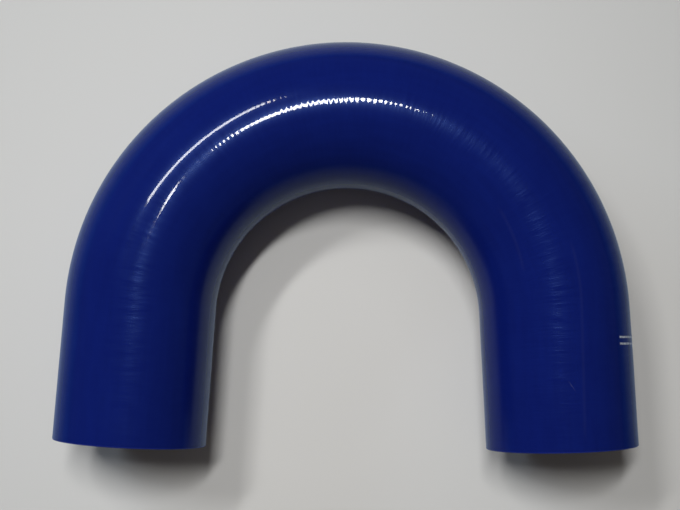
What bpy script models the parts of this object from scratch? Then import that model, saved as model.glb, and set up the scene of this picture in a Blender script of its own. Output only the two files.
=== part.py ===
"""Silicone hose elbow: one moulded tube of even wall, turned back on itself in a U.

The hose lies on its side, as it does on a bench, with its underside on Z = 0.
The crown of the bend points to +Y. The two straight legs run back towards -Y,
splayed a little, because the elbow relaxes open once it is off its mandrel.
Left and right are mirror images about X = 0, and the origin is under the
middle of the hose. All sizes are in metres.
"""

from math import ceil, cos, radians, sin

import bpy
from mathutils import Matrix, Vector

# Sizes of the hose
BORE_DIAMETER = 0.076
WALL = 0.005
BEND_RADIUS = 0.120  # from the middle of the bend to the centreline of the hose
BEND_ANGLE = radians(174.4)
LEG_LENGTH = 0.078  # straight hose past each end of the bend, up to its cut end
LIP_ROUND = 0.0006  # the trimmed edges of both cut ends, inside and outside

# Fineness of the surface
SIDES = 48  # around the hose
BEND_SPAN = radians(4)  # the most that one ring turns from the last
LEG_SPANS = 3  # lengths of surface in each straight leg
LIP_SEGMENTS = 3

# Finish of the cured rubber
SILICONE_BLUE = (0.008, 0.018, 0.19, 1.0)
SILICONE_ROUGHNESS = 0.14

OUTER_RADIUS = BORE_DIAMETER / 2 + WALL


def clear_scene():
    for leftover in list(bpy.data.objects):
        bpy.data.objects.remove(leftover, do_unlink=True)


def new_collection(name):
    collection = bpy.data.collections.new(name)
    bpy.context.scene.collection.children.link(collection)
    return collection


def silicone_material():
    """Cured silicone rubber with the gloss of the film it was wrapped in."""
    material = bpy.data.materials.new("blue_silicone")
    material.diffuse_color = SILICONE_BLUE
    material.use_nodes = True
    shader = material.node_tree.nodes["Principled BSDF"]
    shader.inputs["Base Color"].default_value = SILICONE_BLUE
    shader.inputs["Roughness"].default_value = SILICONE_ROUGHNESS
    shader.inputs["Metallic"].default_value = 0.0
    return material


def centreline():
    """The middle of the hose from the left mouth, round the crown, to the right mouth."""
    half_bend = BEND_ANGLE / 2
    half_spans = ceil(half_bend / BEND_SPAN)
    turn = half_bend / half_spans
    bend = [
        BEND_RADIUS * Vector((sin(i * turn), cos(i * turn), 0))
        for i in range(-half_spans, half_spans + 1)
    ]
    outward = Vector((cos(half_bend), -sin(half_bend), 0))
    right_leg = [
        bend[-1] + outward * LEG_LENGTH * i / LEG_SPANS for i in range(1, LEG_SPANS + 1)
    ]
    left_leg = [Vector((-point.x, point.y, 0)) for point in reversed(right_leg)]
    return left_leg + bend + right_leg


def outer_surface(points):
    """A round skin, open at both ends, swept along the points."""
    path = bpy.data.curves.new("hose_centreline", "CURVE")
    path.dimensions = "3D"
    path.twist_mode = "Z_UP"
    path.bevel_depth = OUTER_RADIUS
    path.bevel_resolution = SIDES // 2 - 2
    path.use_fill_caps = False
    spline = path.splines.new("POLY")
    spline.points.add(len(points) - 1)
    for point, place in zip(spline.points, points):
        point.co = (*place, 1)
    sweep = bpy.data.objects.new("hose_sweep", path)
    bpy.context.scene.collection.objects.link(sweep)
    graph = bpy.context.evaluated_depsgraph_get()
    skin = bpy.data.meshes.new_from_object(sweep.evaluated_get(graph))
    bpy.data.objects.remove(sweep)
    bpy.data.curves.remove(path)
    return skin


def rest_on_ground(skin):
    """Moves the skin so that the origin is on the ground, under its middle."""
    lows = [min(vertex.co[axis] for vertex in skin.vertices) for axis in range(3)]
    highs = [max(vertex.co[axis] for vertex in skin.vertices) for axis in range(3)]
    middle = [(low + high) / 2 for low, high in zip(lows, highs)]
    skin.transform(Matrix.Translation((-middle[0], -middle[1], -lows[2])))


def add_wall(hose):
    """The wall grows inwards from the skin, which leaves the bore."""
    wall = hose.modifiers.new("wall", "SOLIDIFY")
    wall.thickness = WALL
    wall.offset = -1
    wall.use_rim = True


def round_lips(hose):
    """Breaks the four square edges of the cut ends."""
    lips = hose.modifiers.new("lips", "BEVEL")
    lips.limit_method = "ANGLE"
    lips.angle_limit = radians(60)
    lips.width = min(LIP_ROUND, WALL / 3)
    lips.segments = LIP_SEGMENTS


def build_hose_elbow(collection):
    skin = outer_surface(centreline())
    skin.name = "hose_elbow"
    rest_on_ground(skin)
    skin.shade_smooth()
    skin.materials.clear()
    skin.materials.append(silicone_material())
    hose = bpy.data.objects.new("hose_elbow", skin)
    collection.objects.link(hose)
    add_wall(hose)
    round_lips(hose)
    return hose


clear_scene()
build_hose_elbow(new_collection("silicone_hose_elbow"))
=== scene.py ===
# %% [markdown]
# # A moulded silicone hose elbow
#
# This lesson dresses one part of a car's engine bay: a royal blue silicone hose, turned back on
# itself in a U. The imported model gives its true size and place. Here it gets the things that a
# person sees from a step away: the gloss of the film it was cured in, the fine ridges that its
# wrapping left, the plies in its cut ends, and the light of the room running along its back.

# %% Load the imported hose
from math import ceil, cos, pi, radians, sin, tau

import bpy
from mathutils import Matrix, Vector


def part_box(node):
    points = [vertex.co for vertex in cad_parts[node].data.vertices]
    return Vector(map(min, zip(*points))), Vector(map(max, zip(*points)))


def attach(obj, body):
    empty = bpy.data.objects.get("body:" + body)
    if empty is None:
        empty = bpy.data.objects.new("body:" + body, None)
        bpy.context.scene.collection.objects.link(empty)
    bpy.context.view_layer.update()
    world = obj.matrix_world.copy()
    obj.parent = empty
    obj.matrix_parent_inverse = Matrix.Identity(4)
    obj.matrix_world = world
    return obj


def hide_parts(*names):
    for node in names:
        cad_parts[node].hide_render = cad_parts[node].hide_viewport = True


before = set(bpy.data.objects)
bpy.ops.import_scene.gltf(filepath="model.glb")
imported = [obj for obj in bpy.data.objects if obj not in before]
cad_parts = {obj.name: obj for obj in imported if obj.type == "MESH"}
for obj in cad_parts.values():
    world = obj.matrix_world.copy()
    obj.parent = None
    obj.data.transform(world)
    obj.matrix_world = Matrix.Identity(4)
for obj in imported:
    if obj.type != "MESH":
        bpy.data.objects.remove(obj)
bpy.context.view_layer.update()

# %% [markdown]
# ## The sizes that drive the shape
#
# A hose like this is made on a bent steel mandrel, so its bore, its bend and its legs are the
# sizes to start from. The ground is at Z = 0, where the hose lies on its side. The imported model
# says how far the whole hose reaches, so its own box tells us where the middle of the bend is.

# %% Sizes
BORE_RADIUS = 0.038
WALL = 0.005
BEND_RADIUS = 0.120
BEND_ANGLE = radians(174.4)
LEG_LENGTH = 0.078
LIP_ROUND = 0.0006

OUTER_RADIUS = BORE_RADIUS + WALL
BEND_LENGTH = BEND_RADIUS * BEND_ANGLE
HOSE_LENGTH = 2 * LEG_LENGTH + BEND_LENGTH

high_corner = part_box("hose_elbow")[1]
bend_middle = Vector((0, high_corner.y - BEND_RADIUS - OUTER_RADIUS, OUTER_RADIUS))
print(f"centreline {HOSE_LENGTH:.4f} m, middle of the bend at y {bend_middle.y:.4f} m")

# %% [markdown]
# ## The camera
#
# The hose is seen from almost straight above, from about as far as an outstretched arm. The
# camera stands a little towards the open side of the U but not beyond the mouths, so both bores
# stay hidden. Its lens and its three turns were found by laying a tube of these sizes over the
# picture.

# %% Camera
CAMERA_FROM_BEND = Vector((-0.01802, -0.02718, 0.63558))
CAMERA_TURN = (0.1077, -0.0230, 0.0125)
CAMERA_LENS = 54.0
SENSOR_WIDTH = 36

camera_data = bpy.data.cameras.new("camera")
camera_data.sensor_width = SENSOR_WIDTH
camera_data.lens = CAMERA_LENS
camera = bpy.data.objects.new("camera", camera_data)
camera.location = Vector((0, bend_middle.y, 0)) + CAMERA_FROM_BEND
camera.rotation_euler = CAMERA_TURN
bpy.context.scene.collection.objects.link(camera)
bpy.context.scene.camera = camera
print("camera height, m:", round(camera.location.z, 3))

# %% [markdown]
# ## The wall, drawn flat
#
# Cut a straight hose lengthwise and the cut wall is a long thin strip: the skin on one side, the
# bore on the other, and at each end two trimmed edges, broken just enough to catch the light.
# We draw that strip as a closed outline. Its skin side has a point every 1.5 mm, so that the soft
# swellings that come later keep their shape. The bore is smooth, so it needs far fewer.

# %% Outline of the wall
SKIN_STEP = 0.0015
BORE_STEP = 0.004
LIP_STEPS = 4
FACE_STEPS = 4


def evenly(first, last, count):
    """Points from first to last, without the last, so that runs can follow each other."""
    return [first.lerp(last, i / count) for i in range(count)]


def corner(middle, start):
    """A quarter turn of the lip's radius round its middle, without its last point."""
    turns = [start + pi / 2 * i / LIP_STEPS for i in range(LIP_STEPS)]
    return [middle + LIP_ROUND * Vector((cos(turn), sin(turn))) for turn in turns]


def wall_outline():
    """(distance from the axis, distance along) round the wall, starting up the skin."""
    near, far = LIP_ROUND, HOSE_LENGTH - LIP_ROUND
    inner, outer = BORE_RADIUS + LIP_ROUND, OUTER_RADIUS - LIP_ROUND
    along_skin = ceil((far - near) / SKIN_STEP)
    along_bore = ceil((far - near) / BORE_STEP)
    return [
        *evenly(Vector((OUTER_RADIUS, near)), Vector((OUTER_RADIUS, far)), along_skin),
        *corner(Vector((outer, far)), 0),
        *evenly(Vector((outer, HOSE_LENGTH)), Vector((inner, HOSE_LENGTH)), FACE_STEPS),
        *corner(Vector((inner, far)), pi / 2),
        *evenly(Vector((BORE_RADIUS, far)), Vector((BORE_RADIUS, near)), along_bore),
        *corner(Vector((inner, near)), pi),
        *evenly(Vector((inner, 0)), Vector((outer, 0)), FACE_STEPS),
        *corner(Vector((outer, near)), 3 * pi / 2),
    ]


outline = wall_outline()
section = bpy.data.curves.new("wall_section", "CURVE")
section.dimensions = "3D"
spline = section.splines.new("POLY")
spline.points.add(len(outline) - 1)
for point, (from_axis, along) in zip(spline.points, outline):
    point.co = (from_axis - OUTER_RADIUS, -along, 0, 1)
spline.use_cyclic_u = True
hose_maker = bpy.data.objects.new("hose_maker", section)
bpy.context.scene.collection.objects.link(hose_maker)
print("points in the outline:", len(outline))

# %% [markdown]
# ## Helpers for building node trees
#
# The trees below are long, so two small helpers keep them readable. `add` puts down a node and
# sets its inputs, and a value that is another node's output becomes a link. `maths` does the same
# for the arithmetic nodes, so that a formula reads almost as it would on paper.


# %% Node helpers
def connect(tree, socket, value):
    """Links the value into the socket if it is an output, or else sets it."""
    if isinstance(value, bpy.types.NodeSocket):
        tree.links.new(value, socket)
    else:
        socket.default_value = value


def add(tree, kind, inputs=None, **settings):
    """A new node of that kind. inputs maps an input's name or number to its value."""
    node = tree.nodes.new(kind)
    for name, value in settings.items():
        setattr(node, name, value)
    for name, value in (inputs or {}).items():
        connect(tree, node.inputs[name], value)
    return node


class Maths:
    """Arithmetic in one tree, for shaders and for geometry alike."""

    def __init__(self, tree):
        self.tree = tree

    def __call__(self, operation, *values):
        node = add(self.tree, "ShaderNodeMath", operation=operation)
        for socket, value in zip(node.inputs, values):
            connect(self.tree, socket, value)
        return node.outputs[0]

    def vector(self, operation, *values):
        node = add(self.tree, "ShaderNodeVectorMath", operation=operation)
        for socket, value in zip(node.inputs, values):
            connect(self.tree, socket, value)
        return node.outputs["Value" if operation == "LENGTH" else "Vector"]

    def scaled(self, vector, factor):
        node = add(self.tree, "ShaderNodeVectorMath", operation="SCALE")
        connect(self.tree, node.inputs[0], vector)
        connect(self.tree, node.inputs["Scale"], factor)
        return node.outputs[0]

    def combine(self, x, y, z):
        inputs = {"X": x, "Y": y, "Z": z}
        return add(self.tree, "ShaderNodeCombineXYZ", inputs).outputs[0]

    def separate(self, vector):
        return add(self.tree, "ShaderNodeSeparateXYZ", {0: vector}).outputs

    def ramp(self, value, from_low, from_high, to_low=0.0, to_high=1.0, kind="LINEAR"):
        """The value carried from one range to another, and held at its ends."""
        inputs = {"Value": value, 1: from_low, 2: from_high, 3: to_low, 4: to_high}
        return add(self.tree, "ShaderNodeMapRange", inputs, interpolation_type=kind).outputs[0]


def distance_from_axis(maths, place):
    """How far a place on the straight hose is from the hose's axis."""
    return maths.vector("LENGTH", maths.vector("MULTIPLY", place, (1, 1, 0)))


# %% [markdown]
# ## One material for the skin, one for the cut ends, one for the bore
#
# All three are the same blue rubber with a different history. The skin cured against a tight
# glossy film, the cut ends were trimmed with a blade, and the bore took the surface of the mandrel.
#
# Their patterns have to follow the hose round its bend. The geometry stores where each point
# was on the straight hose, before it was bent, in an attribute called `unbent`. X is towards the
# outside of the bend, Y is up and Z runs along the hose. A pattern drawn there bends with it.

# %% Materials and noise
def new_material(name):
    """A material with its tree, its Principled shader and its arithmetic."""
    material = bpy.data.materials.new(name)
    material.use_nodes = True
    tree = material.node_tree
    return material, tree, tree.nodes["Principled BSDF"], Maths(tree)


def unbent_place(tree):
    """The attribute that says where the point was on the straight hose."""
    return add(tree, "ShaderNodeAttribute", attribute_name="unbent").outputs["Vector"]


def noise(tree, vector, scale, detail=2.0):
    """Soft noise between 0 and 1. The scale is in features per unit of the vector."""
    inputs = {"Vector": vector, "Scale": scale, "Detail": detail}
    return add(tree, "ShaderNodeTexNoise", inputs).outputs[0]


def stretched_noise(tree, maths, place, around, along, detail=2.0):
    """Noise with one number of features per metre round the hose and another along it."""
    stretched = maths.vector("MULTIPLY", place, (around, around, along))
    return noise(tree, stretched, 1.0, detail)


# %% [markdown]
# ## The film and its ridges
#
# Before it is cured, the hose is wrapped tightly round with tape. The tape leaves fine ridges that
# run round the hose and not along it. They are about a hundredth of a millimetre high, but in so
# glossy a skin they break the ends of every reflection into dots, and make it zigzag where it
# crosses them at an angle. Each ridge leans a little, so the points of the zigzag lean too. The
# legs are nearly smooth, the crown has the strongest ridges, and just past it they are wider. They
# are bump, in metres.
#
# The film that it cured against leaves a gloss that is sharp on top of the hose. Low on the sides
# it is a little duller, so that the pale edges end softly.

# %% Ridges
RIDGE_PITCH = 0.0030
WIDE_PITCH = 0.0048
WIDE_FROM, WIDE_TO = 0.284, 0.292
RIDGE_SLOPE = 0.028
RIDGE_LEAN = 0.3
DRIFT_SCALES = (30, 60)
DRIFT_TURN = 9.0
PATCH_SCALES = (120, 400)
PATCH_RANGE = (0.38, 0.60)
PATCH_STRENGTHS = (0.40, 1.25)
WRAP = (
    (0.000, 0.05),
    (0.158, 0.05),
    (0.175, 0.42),
    (0.212, 0.42),
    (0.228, 1.10),
    (0.246, 1.10),
    (0.262, 0.95),
    (0.284, 0.85),
    (0.296, 1.05),
    (0.310, 1.05),
    (0.350, 0.07),
)


def along_the_hose(maths, along, stations):
    """A value that follows (distance along, value) stations, with straight lines between."""
    (place, value), *rest = stations
    total = value
    for next_place, next_value in rest:
        step = maths.ramp(along, place, next_place, 0.0, next_value - value)
        total = maths("ADD", total, step)
        place, value = next_place, next_value
    return total


def ridges_round(maths, along, pitch, drift):
    """The height of ridges that run round the hose, each a little steeper on its left flank."""
    turn = maths("ADD", maths("MULTIPLY", along, tau / pitch), drift)
    leant = maths("ADD", turn, maths("MULTIPLY", maths("SINE", turn), RIDGE_LEAN))
    return maths("MULTIPLY", maths("SINE", leant), RIDGE_SLOPE * pitch / tau)


def film_height(tree, maths, place, along):
    """The height of the film: ridges that wander a little and are stronger in patches."""
    wandering = stretched_noise(tree, maths, place, *DRIFT_SCALES)
    drift = maths("MULTIPLY", wandering, DRIFT_TURN)
    narrow = ridges_round(maths, along, RIDGE_PITCH, drift)
    wide = ridges_round(maths, along, WIDE_PITCH, drift)
    widened = maths.ramp(along, WIDE_FROM, WIDE_TO)
    ridges = maths("ADD", narrow, maths("MULTIPLY", maths("SUBTRACT", wide, narrow), widened))
    patches = stretched_noise(tree, maths, place, *PATCH_SCALES)
    strength = maths.ramp(patches, *PATCH_RANGE, *PATCH_STRENGTHS)
    wrap = along_the_hose(maths, along, WRAP)
    return maths("MULTIPLY", ridges, maths("MULTIPLY", wrap, strength))


# %% Gloss of the film
FINE_DETAIL = 3.0
FILM_SCALES = (90, 480)
FILM_RANGE = (0.35, 0.68)
FILM_ROUGHNESS = (0.028, 0.060)
SIDE_LOW, SIDE_HIGH = 0.026, 0.038
SIDE_ROUGHNESS = 0.16


def film_roughness(tree, maths, place, up):
    """The roughness of the film: uneven in bands, and duller low on the sides."""
    bands = stretched_noise(tree, maths, place, *FILM_SCALES, FINE_DETAIL)
    duller = maths.ramp(up, SIDE_LOW, SIDE_HIGH, SIDE_ROUGHNESS, 0.0)
    return maths("ADD", maths.ramp(bands, *FILM_RANGE, *FILM_ROUGHNESS), duller)


# %% [markdown]
# ## The cloth under the film
#
# The threads of the cloth lie close under the surface. They make the deep blue a little uneven,
# and on both legs they break the weak satin gloss of the rubber into short streaks. The streaks
# come from a small rise of the satin's bump, and from a little more gloss where a thread is high.

# %% Threads
WEAVE_SCALES = (80, 700)
NOISE_MEAN = 0.5
WEAVE_LOW, WEAVE_HIGH = 0.020, 0.036
WEAVE = ((0.09, 0.50), (0.14, 0.20), (0.27, 0.12), (0.30, 0.35), (0.36, 0.50), (0.40, 0.75))


def shown_weave(maths, threads, up, along):
    """The threads where they show, on top of the hose, and an even value where they don't."""
    on_top = maths.ramp(up, WEAVE_LOW, WEAVE_HIGH)
    shows = maths("MULTIPLY", along_the_hose(maths, along, WEAVE), on_top)
    shown = maths("MULTIPLY", maths("SUBTRACT", threads, NOISE_MEAN), shows)
    return maths("ADD", shown, NOISE_MEAN)


# %% Blue of the rubber
SILICONE_BLUE = (0.0034, 0.0098, 0.119, 1)
DEEP_BLUE = (0.0028, 0.0079, 0.103, 1)
CLOUD_SCALE = 28.0
STRAND_SCALES = (260, 35)
CLOUD_SHARE, STRAND_SHARE, THREAD_SHARE = 0.35, 0.35, 0.30
MOTTLE_RANGE = (0.38, 0.62)


def mixed_colour(tree, factor, first, second):
    """A mix of two colours. Their sockets share their names with others, so go by number."""
    node = add(tree, "ShaderNodeMix", data_type="RGBA")
    connect(tree, node.inputs["Factor"], factor)
    connect(tree, node.inputs[6], first)
    connect(tree, node.inputs[7], second)
    return node.outputs[2]


def rubber_colour(tree, maths, place, threads):
    """The deep blue of the rubber, a little uneven where the cloth is near."""
    clouds = noise(tree, place, CLOUD_SCALE, FINE_DETAIL)
    strands = stretched_noise(tree, maths, place, *STRAND_SCALES)
    cloud_part = maths("MULTIPLY", clouds, CLOUD_SHARE)
    strand_part = maths("MULTIPLY", strands, STRAND_SHARE)
    thread_part = maths("MULTIPLY", threads, THREAD_SHARE)
    mottle = maths("ADD", cloud_part, maths("ADD", strand_part, thread_part))
    return mixed_colour(tree, maths.ramp(mottle, *MOTTLE_RANGE), DEEP_BLUE, SILICONE_BLUE)


# %% [markdown]
# ## Marks on the skin
#
# A few small marks belong to the skin: two faint lines where the edges of the cloth lie under it, a
# light scratch, and a plain pair of printed bars by which such hoses are lined up. Each place is
# given by its distance along the hose, in metres, and its turn round the hose.

# %% Lines on the skin
INK_WHITE = (0.55, 0.57, 0.60, 1)
LINE_FADE = 0.006
CLOTH_LINES = (
    ((0.3705, radians(115.8)), (0.4190, radians(120.3))),
    ((0.4078, radians(80.7)), (0.5148, radians(86.2))),
)
CLOTH_LINE_HALF_WIDTH = 0.030
CLOTH_LINE_SHARE = 0.006
SCRATCH = ((0.4825, radians(95.8)), (0.4887, radians(90.8)))
SCRATCH_HALF_WIDTH = 0.010
SCRATCH_SHARE = 0.06


def line_on_skin(maths, along, around, start, end, half_width):
    """1 on a line between two (distance along, turn around) places, fading to 0 beside it."""
    (first, first_turn), (last, last_turn) = start, end
    middle = maths.ramp(along, first, last, first_turn, last_turn)
    beside = maths("ABSOLUTE", maths("SUBTRACT", around, middle))
    fade = min(LINE_FADE, (last - first) / 2)
    begun = maths.ramp(along, first, first + fade)
    ended = maths.ramp(along, last - fade, last, 1.0, 0.0)
    inside = maths.ramp(beside, 0.0, half_width, 1.0, 0.0)
    return maths("MULTIPLY", inside, maths("MULTIPLY", begun, ended))


def lined_colour(tree, maths, along, around, blue):
    """The blue with the scratch and the two lines of the cloth on it."""
    scratch = line_on_skin(maths, along, around, *SCRATCH, SCRATCH_HALF_WIDTH)
    marks = maths("MULTIPLY", scratch, SCRATCH_SHARE)
    for start, end in CLOTH_LINES:
        line = line_on_skin(maths, along, around, start, end, CLOTH_LINE_HALF_WIDTH)
        marks = maths("ADD", marks, maths("MULTIPLY", line, CLOTH_LINE_SHARE))
    return mixed_colour(tree, marks, blue, INK_WHITE)


# %% Printed bars
BAR_PLACES = (0.4601, 0.4638)
BAR_THICKNESS = 0.0011
BAR_TURNS = (radians(-30), radians(49))
BAR_EDGE = 0.0001
WEAR_SCALE = 900.0
WEAR_RANGE = (0.35, 0.5)
WEAR_INK = (0.35, 1.0)


def bar_on_skin(maths, along, around, middle):
    """1 inside a bar that runs round the hose, with crisp edges."""
    beside = maths("ABSOLUTE", maths("SUBTRACT", along, middle))
    half_bar = BAR_THICKNESS / 2
    in_band = maths.ramp(beside, half_bar - BAR_EDGE, half_bar + BAR_EDGE, 1.0, 0.0)
    first_turn, last_turn = BAR_TURNS
    half_turn = (last_turn - first_turn) / 2
    round_off = maths("ABSOLUTE", maths("SUBTRACT", around, first_turn + half_turn))
    in_turn = maths.ramp(round_off, half_turn - BAR_EDGE, half_turn + BAR_EDGE, 1.0, 0.0)
    return maths("MULTIPLY", in_band, in_turn)


def printed_colour(tree, maths, place, along, around, colour):
    """The colour with the slightly worn bars printed on it."""
    bars = [bar_on_skin(maths, along, around, middle) for middle in BAR_PLACES]
    wear = maths.ramp(noise(tree, place, WEAR_SCALE, FINE_DETAIL), *WEAR_RANGE, *WEAR_INK)
    ink = maths("MULTIPLY", maths("ADD", *bars), wear)
    return mixed_colour(tree, ink, colour, INK_WHITE)


# %% [markdown]
# ## The skin
#
# The shader of the skin has three layers. At the bottom is the deep blue of the rubber with its
# marks. Over it lies the weak satin gloss with the threads in it. The film is a clear coat on top,
# with the ridges in it. It gives the sharp lines of the lamps and the pale edges, where it mirrors
# the table.

# %% Skin
SILICONE_IOR = 1.45
WEAVE_RANGE = (0.35, 0.65)
WEAVE_RISE = 0.00014
SATIN_SHARES = (0.0, 0.07)
SATIN_LEVELS = (0.0, 0.10)
SATIN_PLACES = ((0.10, 1.35), (0.24, 1.1), (0.32, 0.70))
SATIN_TINT = (0.45, 0.80, 1.0, 1)
SATIN_ROUGHNESS = 0.24
FILM_WEIGHT = 0.38


def bump(tree, height, distance=1.0):
    """A tilted normal. The height is in metres, or a share of the distance."""
    return add(tree, "ShaderNodeBump", {"Height": height, "Distance": distance}).outputs[0]


def skin_material():
    material, tree, shader, maths = new_material("silicone_skin")
    place = unbent_place(tree)
    across, up, along = maths.separate(place)
    around = maths("ARCTAN2", up, across)

    threads = stretched_noise(tree, maths, place, *WEAVE_SCALES)
    blue = rubber_colour(tree, maths, place, threads)
    lined = lined_colour(tree, maths, along, around, blue)
    colour = printed_colour(tree, maths, place, along, around, lined)

    weave = shown_weave(maths, threads, up, along)
    satin_here = along_the_hose(maths, along, SATIN_PLACES)
    satin = maths("MULTIPLY", maths.ramp(weave, *WEAVE_RANGE, *SATIN_SHARES), satin_here)
    satin_level = maths("MULTIPLY", maths.ramp(weave, *WEAVE_RANGE, *SATIN_LEVELS), satin_here)
    satin_normal = bump(tree, maths("MULTIPLY", weave, WEAVE_RISE))
    film_normal = bump(tree, film_height(tree, maths, place, along))

    connect(tree, shader.inputs["Base Color"], colour)
    connect(tree, shader.inputs["Normal"], satin_normal)
    connect(tree, shader.inputs["Metallic"], satin)
    shader.inputs["Roughness"].default_value = SATIN_ROUGHNESS
    connect(tree, shader.inputs["Specular IOR Level"], satin_level)
    shader.inputs["Specular Tint"].default_value = SATIN_TINT
    shader.inputs["IOR"].default_value = SILICONE_IOR
    connect(tree, shader.inputs["Coat Normal"], film_normal)
    connect(tree, shader.inputs["Coat Roughness"], film_roughness(tree, maths, place, up))
    shader.inputs["Coat Weight"].default_value = FILM_WEIGHT
    shader.inputs["Coat IOR"].default_value = SILICONE_IOR
    return material


SKIN = skin_material()
print("nodes in the skin's shader:", len(SKIN.node_tree.nodes))

# %% [markdown]
# ## The cut ends and the bore
#
# A blade leaves the cut ends matt, and the cured plies show in them as faint rings of lighter blue.
# The whole cut is a lighter blue than the skin: partly the cut rubber, and partly a painted
# highlight for the bright line along each rim.
# The bore is smoother than the cut but duller than the skin, because the mandrel was only polished.

# %% Cut ends
# Lighter than the skin's blue: partly the cut rubber, partly a painted highlight on the rims.
CUT_BLUE_AND_RIM_HIGHLIGHT = (0.0030, 0.0130, 0.172, 1)
PLY_BLUE = (0.012, 0.035, 0.230, 1)
PLIES = 4
HALF_PLY = 0.5
PLY_RANGE = (0.30, 0.46)
CUT_GRAIN_SCALE = 1400.0
CUT_GRAIN_DEPTH = 0.00005
CUT_ROUGHNESS = 0.55


def cut_end_material():
    material, tree, shader, maths = new_material("silicone_cut_end")
    place = unbent_place(tree)
    from_axis = distance_from_axis(maths, place)
    depth = maths.ramp(from_axis, BORE_RADIUS, OUTER_RADIUS)
    ply = maths("PINGPONG", maths("MULTIPLY", depth, PLIES), HALF_PLY)
    colour = mixed_colour(tree, maths.ramp(ply, *PLY_RANGE), CUT_BLUE_AND_RIM_HIGHLIGHT, PLY_BLUE)
    grain = noise(tree, place, CUT_GRAIN_SCALE, FINE_DETAIL)
    connect(tree, shader.inputs["Base Color"], colour)
    connect(tree, shader.inputs["Normal"], bump(tree, grain, CUT_GRAIN_DEPTH))
    shader.inputs["Roughness"].default_value = CUT_ROUGHNESS
    shader.inputs["IOR"].default_value = SILICONE_IOR
    return material


CUT_END = cut_end_material()
print("nodes in the cut end's shader:", len(CUT_END.node_tree.nodes))

# %% Bore
BORE_CLOUD_SCALE = 40.0
BORE_CLOUD_RANGE = (0.3, 0.7)
BORE_GRAIN_SCALE = 900.0
BORE_GRAIN_DEPTH = 0.00002
BORE_ROUGHNESS = (0.32, 0.42)


def bore_material():
    material, tree, shader, maths = new_material("silicone_bore")
    place = unbent_place(tree)
    clouds = noise(tree, place, BORE_CLOUD_SCALE, FINE_DETAIL)
    blueness = maths.ramp(clouds, *BORE_CLOUD_RANGE)
    colour = mixed_colour(tree, blueness, DEEP_BLUE, SILICONE_BLUE)
    roughness = maths.ramp(clouds, *BORE_CLOUD_RANGE, *BORE_ROUGHNESS)
    grain = noise(tree, place, BORE_GRAIN_SCALE)
    connect(tree, shader.inputs["Base Color"], colour)
    connect(tree, shader.inputs["Normal"], bump(tree, grain, BORE_GRAIN_DEPTH))
    connect(tree, shader.inputs["Roughness"], roughness)
    shader.inputs["IOR"].default_value = SILICONE_IOR
    return material


BORE = bore_material()
print("nodes in the bore's shader:", len(BORE.node_tree.nodes))

# %% [markdown]
# ## The hose, lathed straight and then bent
#
# Geometry Nodes make the hose the way the factory does. First the outline of the wall is swept
# round a circle, which gives a straight hose. Then the skin swells and sinks by a fraction of a
# millimetre, because nothing wrapped by hand is quite even. Last, every point is carried onto the
# bent centreline: the stretch of hose inside the bend turns by its share of the angle, and the
# legs run straight on from it.

# %% Tree of the hose
SIDES = 96

tree = bpy.data.node_groups.new("bent_hose", "GeometryNodeTree")
SIZES = {
    "Outer Radius": OUTER_RADIUS,
    "Wall": WALL,
    "Bend Radius": BEND_RADIUS,
    "Bend Angle": BEND_ANGLE,
    "Leg Length": LEG_LENGTH,
    "Lip Round": LIP_ROUND,
    "Sway": 0.0003,
    "Dimple": 0.00002,
    "Seed": 7.0,
}
tree.interface.new_socket("Geometry", in_out="INPUT", socket_type="NodeSocketGeometry")
tree.interface.new_socket("Sides", in_out="INPUT", socket_type="NodeSocketInt")
for size in SIZES:
    tree.interface.new_socket(size, in_out="INPUT", socket_type="NodeSocketFloat")
for finish in ("Skin", "Cut End", "Bore"):
    tree.interface.new_socket(finish, in_out="INPUT", socket_type="NodeSocketMaterial")
tree.interface.new_socket("Centre", in_out="INPUT", socket_type="NodeSocketVector")
tree.interface.new_socket("Geometry", in_out="OUTPUT", socket_type="NodeSocketGeometry")
given = tree.nodes.new("NodeGroupInput").outputs
maths = Maths(tree)
print("inputs of the tree:", [socket.name for socket in given if socket.name])

# %% Straight hose
circle = add(
    tree,
    "GeometryNodeCurvePrimitiveCircle",
    {"Resolution": given["Sides"], "Radius": given["Outer Radius"]},
)
lathed = add(
    tree,
    "GeometryNodeCurveToMesh",
    {"Curve": circle.outputs[0], "Profile Curve": given["Geometry"]},
)
straight = add(tree, "GeometryNodeInputPosition").outputs[0]
remembered = add(
    tree,
    "GeometryNodeStoreNamedAttribute",
    {"Geometry": lathed.outputs[0], "Name": "unbent", "Value": straight},
    data_type="FLOAT_VECTOR",
    domain="POINT",
)
print("nodes for the straight hose:", len(tree.nodes))

# %% Relief of the skin
RELIEF_DETAIL = 1.0
SWAY_SCALE, DIMPLE_SCALE = 18.0, 120.0
SKIN_DEPTH = 0.00005
CALM_LENGTH = 0.004

across, up, along = maths.separate(straight)
from_axis = distance_from_axis(maths, straight)
seeded = maths.vector("ADD", straight, maths.combine(given["Seed"], given["Seed"], 0.0))


def relief(scale, height):
    """Soft swellings of the skin, some up and some down."""
    swelling = noise(tree, seeded, scale, RELIEF_DETAIL)
    return maths("MULTIPLY", maths("SUBTRACT", swelling, NOISE_MEAN), height)


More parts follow.
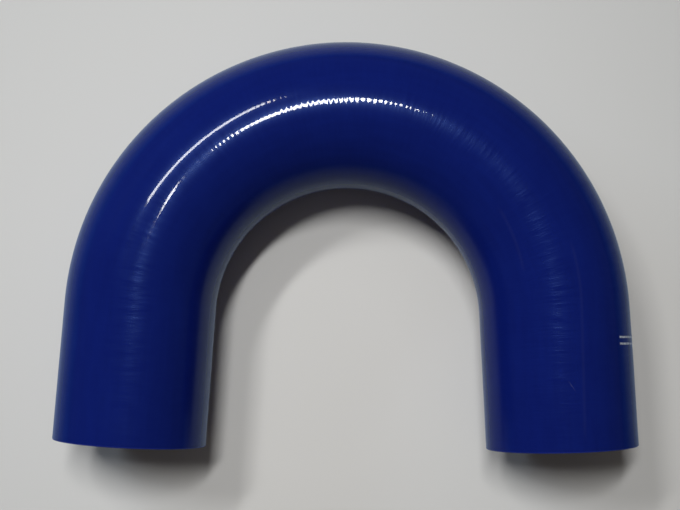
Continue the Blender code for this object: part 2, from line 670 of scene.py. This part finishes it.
rise = maths("ADD", relief(SWAY_SCALE, given["Sway"]), relief(DIMPLE_SCALE, given["Dimple"]))
below_skin = maths("SUBTRACT", given["Outer Radius"], from_axis)
on_skin = maths.ramp(below_skin, 0.0, SKIN_DEPTH, 1.0, 0.0)
bend_length = maths("MULTIPLY", given["Bend Radius"], given["Bend Angle"])
half_length = maths("ADD", given["Leg Length"], maths("DIVIDE", bend_length, 2.0))
from_middle = maths("ABSOLUTE", maths("SUBTRACT", along, half_length))
from_end = maths("SUBTRACT", half_length, from_middle)
off_the_lip = maths.ramp(from_end, given["Lip Round"], CALM_LENGTH)
risen = maths("MULTIPLY", rise, maths("MULTIPLY", on_skin, off_the_lip))
outwards = maths.combine(maths("DIVIDE", across, from_axis), maths("DIVIDE", up, from_axis), 0.0)
swollen = maths.vector("ADD", straight, maths.scaled(outwards, risen))
print("nodes with the relief:", len(tree.nodes))

# %% Bend
across, up, along = maths.separate(swollen)
past_leg = maths("SUBTRACT", along, given["Leg Length"])
in_bend = maths("MINIMUM", maths("MAXIMUM", past_leg, 0.0), bend_length)
straight_on = maths("SUBTRACT", past_leg, in_bend)
turned = maths(
    "SUBTRACT",
    maths("DIVIDE", in_bend, given["Bend Radius"]),
    maths("DIVIDE", given["Bend Angle"], 2.0),
)
sine, cosine = maths("SINE", turned), maths("COSINE", turned)
away = maths.combine(sine, cosine, 0.0)
forward = maths.combine(cosine, maths("MULTIPLY", sine, -1.0), 0.0)
on_arc = maths.scaled(away, maths("ADD", given["Bend Radius"], across))
on_leg = maths.vector("ADD", on_arc, maths.scaled(forward, straight_on))
lifted = maths.vector("ADD", on_leg, maths.combine(0.0, 0.0, up))
placed = maths.vector("ADD", lifted, given["Centre"])
bent = add(
    tree,
    "GeometryNodeSetPosition",
    {"Geometry": remembered.outputs[0], "Position": placed},
)
print("nodes with the bend:", len(tree.nodes))

# %% Finish of each face
was = add(tree, "GeometryNodeInputNamedAttribute", {"Name": "unbent"}, data_type="FLOAT_VECTOR")
along = maths.separate(was.outputs[0])[2]
from_axis = distance_from_axis(maths, was.outputs[0])
from_middle = maths("ABSOLUTE", maths("SUBTRACT", along, half_length))
off_the_ends = maths("LESS_THAN", from_middle, maths("SUBTRACT", half_length, given["Lip Round"]))
half_wall = maths("SUBTRACT", given["Outer Radius"], maths("DIVIDE", given["Wall"], 2.0))
is_outer = maths("GREATER_THAN", from_axis, half_wall)
is_skin = maths("MULTIPLY", off_the_ends, is_outer)
is_bore = maths("MULTIPLY", off_the_ends, maths("SUBTRACT", 1.0, is_outer))

smooth = add(tree, "GeometryNodeSetShadeSmooth", {"Geometry": bent.outputs[0]})
realised = add(tree, "GeometryNodeRealizeInstances", {"Geometry": smooth.outputs[0]})
dressed = realised.outputs[0]
for finish, chosen in (("Cut End", True), ("Skin", is_skin), ("Bore", is_bore)):
    dressed = add(
        tree,
        "GeometryNodeSetMaterial",
        {"Geometry": dressed, "Selection": chosen, "Material": given[finish]},
    ).outputs[0]
add(tree, "NodeGroupOutput", {0: dressed})
print("nodes in the hose's tree:", len(tree.nodes))

# %% [markdown]
# ## From modifier to plain mesh
#
# A modifier's inputs are set by each socket's identifier, because names may repeat. The evaluated
# result becomes a mesh of its own, and the maker with its outline is thrown away.

# %% Make the hose
INPUTS = {
    **SIZES,
    "Sides": SIDES,
    "Centre": bend_middle,
    "Skin": SKIN,
    "Cut End": CUT_END,
    "Bore": BORE,
}
modifier = hose_maker.modifiers.new("bent_hose", "NODES")
modifier.node_group = tree
for item in tree.interface.items_tree:
    if item.in_out == "INPUT" and item.name in INPUTS:
        modifier[item.identifier] = INPUTS[item.name]

graph = bpy.context.evaluated_depsgraph_get()
mesh = bpy.data.meshes.new_from_object(hose_maker.evaluated_get(graph))
mesh.name = "silicone_hose"
hose = bpy.data.objects.new("silicone_hose", mesh)
bpy.context.scene.collection.objects.link(hose)
bpy.data.objects.remove(hose_maker)

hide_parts("hose_elbow")
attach(hose, "root")
mesh.calc_loop_triangles()
print("triangles in the hose:", len(mesh.loop_triangles))

# %% [markdown]
# ## The table
#
# A plain white surface, so wide that its edge never shows. It is part of the stage and not of
# the hose. Its paint is matt and a little warm. Away from the hose it is painted a little darker,
# as painted shade where the light of the lamps falls off.
#
# The pale edges of the hose are the table, seen in the skin at a low angle. They fade so soon that
# the real table must end not far from the hose, beyond the picture. Here it goes on, so rays that
# come off the skin see it turn into a blue instead, and see its near part a little cooler than it
# is. That is a painted reflection: the blue stands in for the dim room, and it also paints a blue
# sheen on the hose's edges. The camera sees the table whole, and far off it sees it pass into the
# pale backdrop.

# %% Table
TABLE_WHITE = (0.66, 0.655, 0.635, 1)
TABLE_PAINTED_SHADE = (0.50, 0.50, 0.485, 1)
COOLER_IN_SKIN = (0.86, 0.96, 1.0)
# Painted reflection of the room, blue enough to paint a sheen on the hose's edges too.
PAINTED_ROOM_AND_SHEEN = (0.08, 0.20, 0.50, 1)
SHADE_MIDDLE = (-0.02, -0.08, 0)
SHADE_FROM, SHADE_TO = 0.06, 0.44
FADE_MIDDLE = (0.01, 0.10, 0)
FADE_REACH = (0.42, 0.56, 1)
FADE_FROM, FADE_TO = 0.12, 1.15
BACKDROP = (0.56, 0.56, 0.55, 1)
HAZE_FROM, HAZE_TO = 0.34, 1.5
NO_PAINT = (0, 0, 0, 1)
TABLE_ROUGHNESS = 0.6
TABLE_HALF = 4.0
TABLE_DROP = 0.0002

table_paint, table_tree, table_shader, table_maths = new_material("table_paint")
table_place = add(table_tree, "ShaderNodeTexCoord").outputs["Object"]
# Painted shade: the table is painted darker away from the hose, where the lamps' light falls off.
from_hose = table_maths.vector("LENGTH", table_maths.vector("SUBTRACT", table_place, SHADE_MIDDLE))
painted_shade = table_maths.ramp(from_hose, SHADE_FROM, SHADE_TO)
table_colour = mixed_colour(table_tree, painted_shade, TABLE_WHITE, TABLE_PAINTED_SHADE)

from_middle = table_maths.vector("SUBTRACT", table_place, FADE_MIDDLE)
reach = table_maths.vector("DIVIDE", from_middle, FADE_REACH)
past = table_maths.ramp(table_maths.vector("LENGTH", reach), FADE_FROM, FADE_TO)
cooled = table_maths.vector("MULTIPLY", table_colour, COOLER_IN_SKIN)
seen_colour = mixed_colour(table_tree, past, cooled, PAINTED_ROOM_AND_SHEEN)
in_picture = add(table_tree, "ShaderNodeLightPath").outputs["Is Camera Ray"]
table_colour = mixed_colour(table_tree, in_picture, seen_colour, table_colour)
from_here = table_maths.vector("LENGTH", table_place)
far_off = table_maths.ramp(from_here, HAZE_FROM, HAZE_TO, kind="SMOOTHSTEP")
hazed = table_maths("MULTIPLY", far_off, in_picture)
table_colour = mixed_colour(table_tree, hazed, table_colour, NO_PAINT)
connect(table_tree, table_shader.inputs["Base Color"], table_colour)
connect(table_tree, table_shader.inputs["Emission Strength"], hazed)
table_shader.inputs["Emission Color"].default_value = BACKDROP
table_shader.inputs["Roughness"].default_value = TABLE_ROUGHNESS
table_shader.inputs["Specular IOR Level"].default_value = 0.0

table_mesh = bpy.data.meshes.new("table")
signs = [(-1, -1), (1, -1), (1, 1), (-1, 1)]
corners = [(x * TABLE_HALF, y * TABLE_HALF, -TABLE_DROP) for x, y in signs]
table_mesh.from_pydata(corners, [], [(0, 1, 2, 3)])
table_mesh.materials.append(table_paint)
table = bpy.data.objects.new("table", table_mesh)
bpy.context.scene.collection.objects.link(table)
print("table, m:", 2 * TABLE_HALF)

# %% [markdown]
# ## The light of the room
#
# Strip lamps hang over the bench in two rows. Each row draws a thin bright line along the back of
# the bend and throws its own shadow towards the lower right. The place of a row was worked out
# twice: from its line, where the mirror direction at each point points at the lamp, and from its
# shadow. The two differ by about three degrees, because the real hose isn't quite round. So every
# row has glints, which are only seen in the skin, and a light, which only lights. The glints of
# the nearer row are a short lamp and a long one, with a gap between them.
#
# A broad window low on the left adds a little daylight, and a dim ceiling softens the shadows.
# The rest of the room is dark, which is why the blue stays deep. Camera rays see a pale backdrop,
# which lights nothing.


# %% Lamps
def strip_lamp(name, first_end, second_end, width, glow, seen_in_skin):
    """An area lamp between two points, facing the hose. glow is its brightness, with white 1.

    A lamp that is seen in the skin only glints there, and any other lamp only lights.
    """
    first_end, second_end = Vector(first_end), Vector(second_end)
    middle = (first_end + second_end) / 2
    along = (second_end - first_end).normalized()
    back = (middle - (middle - bend_middle).project(along) - bend_middle).normalized()
    data = bpy.data.lights.new(name, "AREA")
    data.shape = "RECTANGLE"
    data.size = (second_end - first_end).length
    data.size_y = width
    data.energy = glow * pi * data.size * width
    lamp = bpy.data.objects.new(name, data)
    facing = Matrix((along, back.cross(along), back)).transposed().to_4x4()
    lamp.matrix_world = Matrix.Translation(middle) @ facing
    lamp.visible_glossy = seen_in_skin
    lamp.visible_diffuse = not seen_in_skin
    bpy.context.scene.collection.objects.link(lamp)
    return lamp


LAMP_HEIGHT = 1.505
GLINT_WIDTH = 0.09
LAMP_WIDTH = 0.10
GLINTS = (
    ("near_short_glint", (-0.186, 0.151), (-0.163, 0.170), 75),
    ("near_long_glint", (-0.094, 0.228), (0.085, 0.430), 120),
    ("far_glint", (-0.788, 0.481), (-0.288, 0.841), 52),
)
LIGHTS = (
    ("near_light", (-0.330, 0.135), (0.008, 0.550), 76),
    ("far_light", (-0.880, 0.425), (-0.535, 0.855), 61),
)
WINDOW_ENDS = ((-2.21, 0.75, 1.06), (-1.55, 1.75, 1.06))
WINDOW_WIDTH = 0.6
WINDOW_GLOW = 5.0
WINDOW_TINT = (0.82, 0.98, 1.20)
CEILING_ENDS = ((-1.5, 0, 2.0), (1.5, 0, 2.0))
CEILING_WIDTH = 3.0
CEILING_GLOW = 0.13
CEILING_TINT = (1.06, 0.98, 0.90)
for lamps, lamp_width, seen_in_skin in ((GLINTS, GLINT_WIDTH, True), (LIGHTS, LAMP_WIDTH, False)):
    for lamp_name, first_end, second_end, glow in lamps:
        strip_lamp(
            lamp_name,
            (*first_end, LAMP_HEIGHT),
            (*second_end, LAMP_HEIGHT),
            lamp_width,
            glow,
            seen_in_skin,
        )
window = strip_lamp("window", *WINDOW_ENDS, WINDOW_WIDTH, WINDOW_GLOW, False)
window.data.color = WINDOW_TINT
ceiling = strip_lamp("ceiling", *CEILING_ENDS, CEILING_WIDTH, CEILING_GLOW, False)
ceiling.data.color = CEILING_TINT
print("lamps:", [lamp.name for lamp in bpy.data.lights])

# %% Room
ROOM_LIGHT = (0.020, 0.018, 0.018, 1)
ROOM_IN_SKIN = (0.08, 0.115, 0.21, 1)

world = bpy.data.worlds.new("room")
world.use_nodes = True
bpy.context.scene.world = world
room_tree = world.node_tree
rays = add(room_tree, "ShaderNodeLightPath").outputs
room_colour = mixed_colour(room_tree, rays["Is Glossy Ray"], ROOM_LIGHT, ROOM_IN_SKIN)
seen_colour = mixed_colour(room_tree, rays["Is Camera Ray"], room_colour, BACKDROP)
connect(room_tree, room_tree.nodes["Background"].inputs["Color"], seen_colour)
print("light of the room:", ROOM_LIGHT[:3])

# %% [markdown]
# ## Finish
#
# The picture keeps its colours as they are written.

# %% Finish
bpy.context.scene.view_settings.view_transform = "Standard"

bpy.context.view_layer.update()
